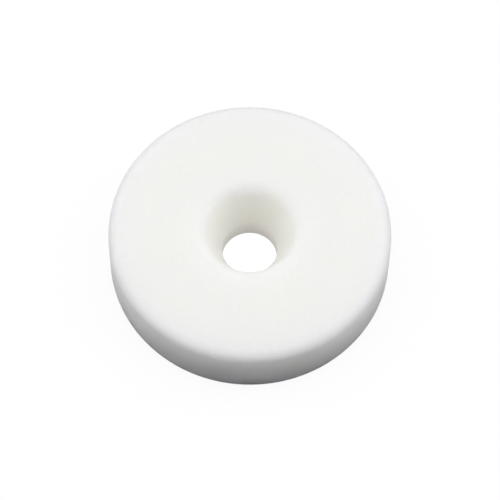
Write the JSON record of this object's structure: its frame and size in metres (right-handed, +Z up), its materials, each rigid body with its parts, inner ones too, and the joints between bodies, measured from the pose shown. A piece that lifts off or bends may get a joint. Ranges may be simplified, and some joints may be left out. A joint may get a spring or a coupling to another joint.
{
  "type": "dental ceramic disc",
  "caption": "Thick round white ceramic disc with rounded edges and a central hole that tapers from a wide mouth down to a short straight bore.",
  "frame": {"origin": "centre of the underside, where the axis of the hole meets it; the disc lies flat on this face", "axes": "+Z up the axis of the hole, from the underside towards the wide mouth; +X and +Y are any two directions in the underside, because the disc is round"},
  "size_m": [0.025, 0.025, 0.006],
  "materials": {
    "ceramic": "matte, fine-grained, fired, unglazed"
  },
  "bodies": {
    "root": {"ceramic_disc": "ceramic"}
  },
  "joints": []
}
